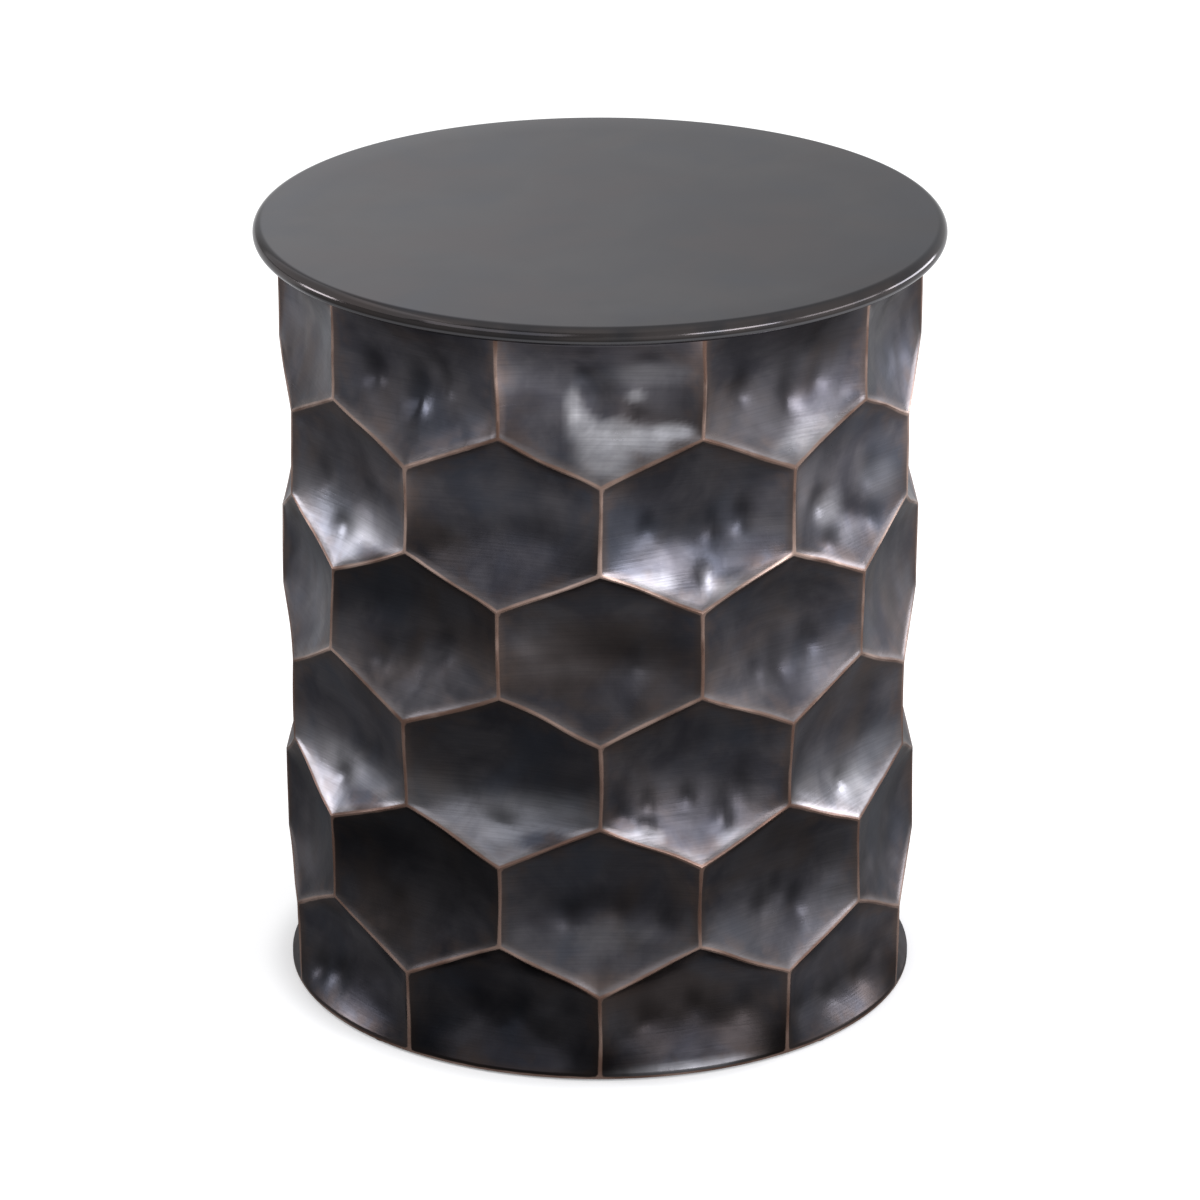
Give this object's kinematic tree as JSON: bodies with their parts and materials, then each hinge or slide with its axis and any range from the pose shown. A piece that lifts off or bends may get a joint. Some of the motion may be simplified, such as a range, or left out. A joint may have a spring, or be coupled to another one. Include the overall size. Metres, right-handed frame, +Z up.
{
  "type": "round storage side table",
  "caption": "Round drum side table of hammered honeycomb sheet metal with a dark copper patina and a loose round-edged lid that lifts off a storage space.",
  "frame": {"origin": "on the floor at the middle of the drum", "axes": "+Z up through the drum's axis, -Y towards the front, +X to the right of someone facing it"},
  "size_m": [0.4159, 0.416, 0.48],
  "materials": {
    "hammered_patina": "hammered sheet, dark gunmetal patina rubbed back to copper along the ridges",
    "lid_patina": "smooth satin gunmetal patina",
    "black_steel": "matte black paint over steel bar",
    "stained_board": "fibreboard sealed black",
    "zinc_screw": "zinc plated",
    "black_rubber": "matte moulded rubber"
  },
  "bodies": {
    "drum": {"drum_shell": "hammered_patina", "mouth_ring": "black_steel", "base_ring": "black_steel", "floor_board": "stained_board", "floor_screws": "zinc_screw", "foot_1": "black_rubber", "foot_2": "black_rubber", "foot_3": "black_rubber", "foot_4": "black_rubber"},
    "lid": {"lid_skin": "lid_patina", "lid_core": "stained_board", "lid_locating_ring": "black_steel", "lid_ring_screws": "zinc_screw", "lid_bumper_1": "black_rubber", "lid_bumper_2": "black_rubber", "lid_bumper_3": "black_rubber", "lid_bumper_4": "black_rubber"}
  },
  "joints": [
    {"name": "lid_lift", "type": "slide", "parent": "drum", "child": "lid", "axis": [0, 0, 1], "range_m": [0, 0.4]}
  ]
}
